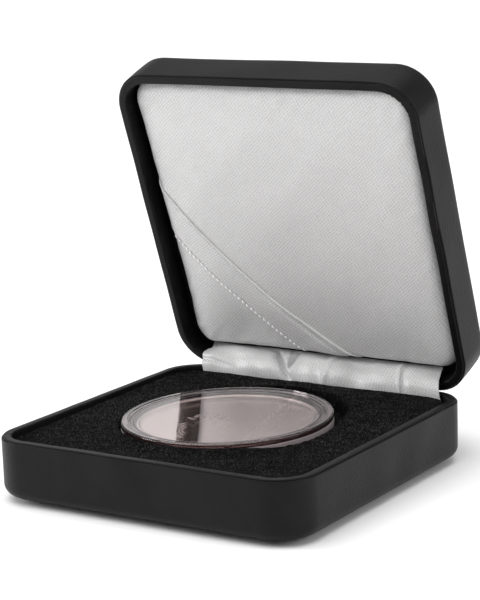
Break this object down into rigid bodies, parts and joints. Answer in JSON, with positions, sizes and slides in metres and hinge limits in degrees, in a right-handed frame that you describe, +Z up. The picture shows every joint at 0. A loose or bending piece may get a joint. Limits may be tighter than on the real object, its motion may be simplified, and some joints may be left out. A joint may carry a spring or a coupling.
{
  "type": "coin capsule in a hinged presentation case",
  "caption": "Square hinged presentation case in grained leatherette with satin and velour lining, holding a round clear capsule with a coin.",
  "frame": {"origin": "on the surface the case stands on, under the middle of the open case", "axes": "+Z up, +X along the hinge to the right seen from the front, +Y towards the hinge"},
  "size_m": [0.078, 0.088, 0.0908],
  "materials": {
    "leatherette": "fine pressed grain with a soft sheen",
    "shell": "moulded",
    "panel": "black lining paper with a short flock",
    "foot": "matt stick-on pad",
    "foam": "open foam",
    "card": "grey-brown box board",
    "velour": "short black pile with light fibre tips",
    "satin": "silver-white twill satin",
    "hinge_steel": "plated",
    "spring_steel": "blank spring strip",
    "clear_plastic": "polished clear acrylic",
    "silver": "mirror field with a frosted relief"
  },
  "bodies": {
    "case_base": {"base_shell": "shell", "base_wrap": "leatherette", "base_panel": "panel", "foot_front_left": "foot", "foot_front_right": "foot", "foot_back_left": "foot", "foot_back_right": "foot", "insert_block": "foam", "insert_card": "card", "velour_cover": "velour", "recess_pad": "velour", "hinge_left_base_leaf": "hinge_steel", "hinge_right_base_leaf": "hinge_steel", "hinge_left_pin": "hinge_steel", "hinge_right_pin": "hinge_steel", "base_rivets": "hinge_steel", "snap_spring": "spring_steel", "hinge_strip": "satin"},
    "lid": {"hinge_left_lid_leaf": "hinge_steel", "hinge_right_lid_leaf": "hinge_steel", "lid_rivets": "hinge_steel", "lid_shell": "shell", "lid_wrap": "leatherette", "pad_card": "card", "pad_foam": "foam", "pad_satin": "satin", "corner_band": "satin"},
    "capsule_tray": {"capsule_base": "clear_plastic"},
    "capsule_top": {"capsule_cover": "clear_plastic"},
    "coin_disc": {"coin": "silver"}
  },
  "joints": [
    {"name": "lid_hinge", "type": "hinge", "parent": "case_base", "child": "lid", "pos_m": [0, 0.03354, 0.01455], "axis": [-1, 0, 0], "range_deg": [-70.5, 24.5], "deforming": ["hinge_strip", "snap_spring"]},
    {"name": "capsule_lift", "type": "slide", "parent": "case_base", "child": "capsule_tray", "axis": [0, 0, 1], "range_m": [0, 0.03]},
    {"name": "cover_lift", "type": "slide", "parent": "capsule_tray", "child": "capsule_top", "axis": [0, 0, 1], "range_m": [0, 0.032]},
    {"name": "coin_lift", "type": "slide", "parent": "capsule_tray", "child": "coin_disc", "axis": [0, 0, 1], "range_m": [0, 0.016]}
  ],
  "couplings": [
    {"joint": "coin_lift", "follows": "cover_lift", "ratio": 0.5}
  ]
}
